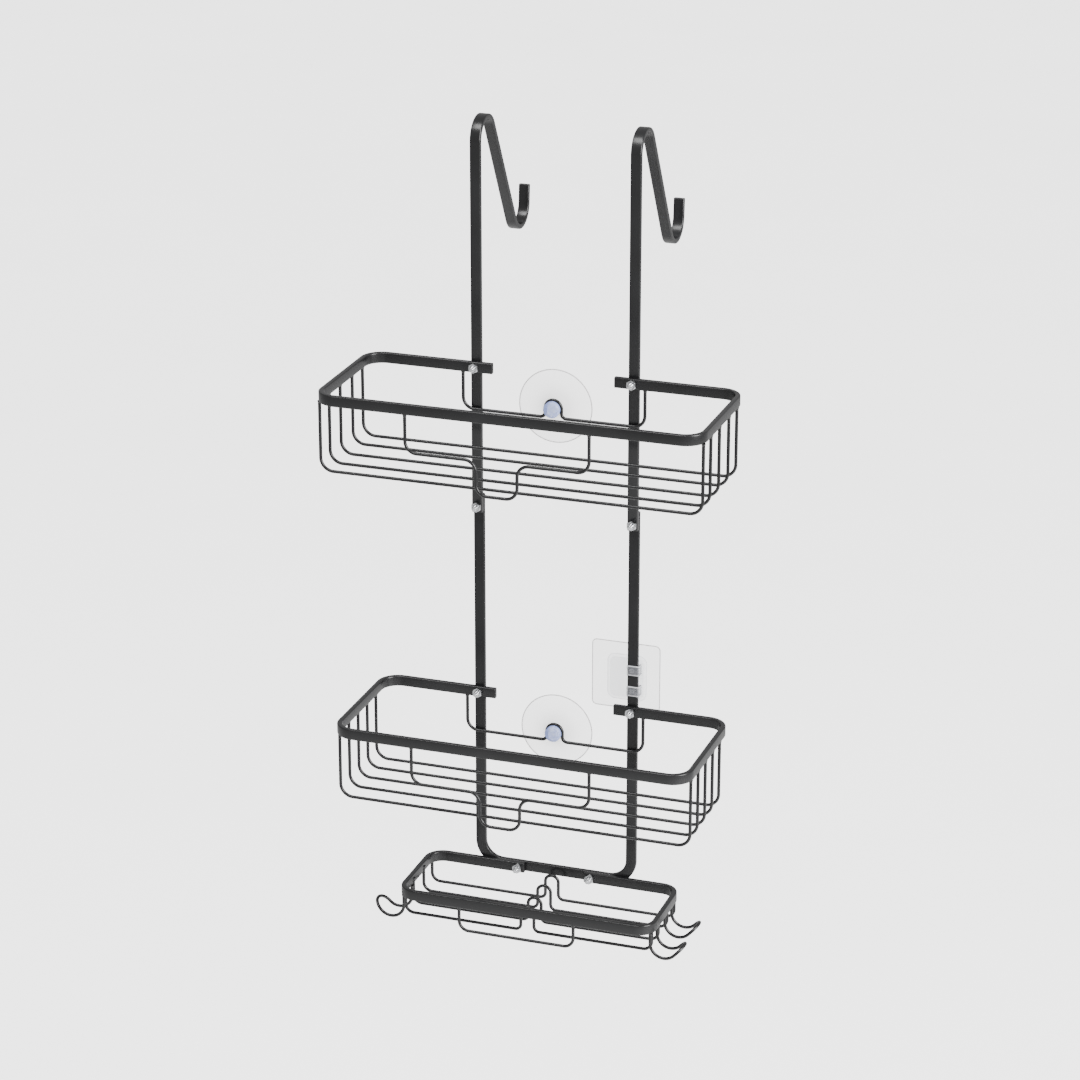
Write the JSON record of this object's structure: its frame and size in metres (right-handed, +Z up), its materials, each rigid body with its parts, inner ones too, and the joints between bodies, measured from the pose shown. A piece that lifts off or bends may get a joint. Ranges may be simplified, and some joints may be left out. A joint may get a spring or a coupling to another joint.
{
  "type": "over-the-door shower caddy",
  "caption": "Black over-the-door shower caddy with an upper and a lower wire basket, a soap tray with side hooks, clear suction cups and a sticky wall clip.",
  "frame": {"origin": "top edge of the door: midway between the two hooks, on the back faces of their uprights, at the inside of their bends", "axes": "+X to the user's right, +Y towards the door and wall, +Z up"},
  "size_m": [0.3, 0.2287, 0.6328],
  "materials": {
    "black_coating": "satin black powder coat",
    "zinc_plate": "bright zinc plate",
    "clear_pvc": "soft clear PVC",
    "clear_clip": "clear moulded plastic",
    "clear_pad": "clear sticky film"
  },
  "bodies": {
    "frame": {"frame_lap_nut_left": "zinc_plate", "frame_lap_nut_right": "zinc_plate", "frame_lap_screw_left": "zinc_plate", "frame_lap_screw_right": "zinc_plate", "hook_bar_left": "black_coating", "hook_bar_right": "black_coating", "lower_back_wire": "black_coating", "lower_basket_nut_left": "zinc_plate", "lower_basket_nut_right": "zinc_plate", "lower_basket_rim": "black_coating", "lower_basket_screw_left": "zinc_plate", "lower_basket_screw_right": "zinc_plate", "lower_basket_wire_1": "black_coating", "lower_basket_wire_2": "black_coating", "lower_basket_wire_3": "black_coating", "lower_basket_wire_4": "black_coating", "lower_basket_wire_5": "black_coating", "lower_frame": "black_coating", "lower_front_wire": "black_coating", "side_hook_left_front": "black_coating", "side_hook_right_back": "black_coating", "side_hook_right_front": "black_coating", "soap_tray_front_wire": "black_coating", "soap_tray_nut_left": "zinc_plate", "soap_tray_nut_right": "zinc_plate", "soap_tray_rim": "black_coating", "soap_tray_screw_left": "zinc_plate", "soap_tray_screw_right": "zinc_plate", "soap_tray_wire_1": "black_coating", "soap_tray_wire_2": "black_coating", "soap_tray_wire_3": "black_coating", "soap_tray_wire_4": "black_coating", "upper_back_wire": "black_coating", "upper_basket_nut_left": "zinc_plate", "upper_basket_nut_right": "zinc_plate", "upper_basket_rim": "black_coating", "upper_basket_screw_left": "zinc_plate", "upper_basket_screw_right": "zinc_plate", "upper_basket_wire_1": "black_coating", "upper_basket_wire_2": "black_coating", "upper_basket_wire_3": "black_coating", "upper_basket_wire_4": "black_coating", "upper_basket_wire_5": "black_coating", "upper_front_wire": "black_coating"},
    "upper_cup": {"upper_suction_cup": "clear_pvc"},
    "lower_cup": {"lower_suction_cup": "clear_pvc"},
    "wall_clip": {"wall_clip": "clear_clip", "wall_pad": "clear_pad"}
  },
  "joints": [
    {"name": "upper_cup_swivel", "type": "hinge", "parent": "frame", "child": "upper_cup", "pos_m": [0, -0.006, -0.2138], "axis": [0, 1, 0], "continuous": true},
    {"name": "lower_cup_swivel", "type": "hinge", "parent": "frame", "child": "lower_cup", "pos_m": [0, -0.002, -0.4821], "axis": [0, 1, 0], "continuous": true},
    {"name": "wall_clip_slide", "type": "slide", "parent": "frame", "child": "wall_clip", "axis": [0, 0, 1], "range_m": [-0.002, 0.105]}
  ]
}
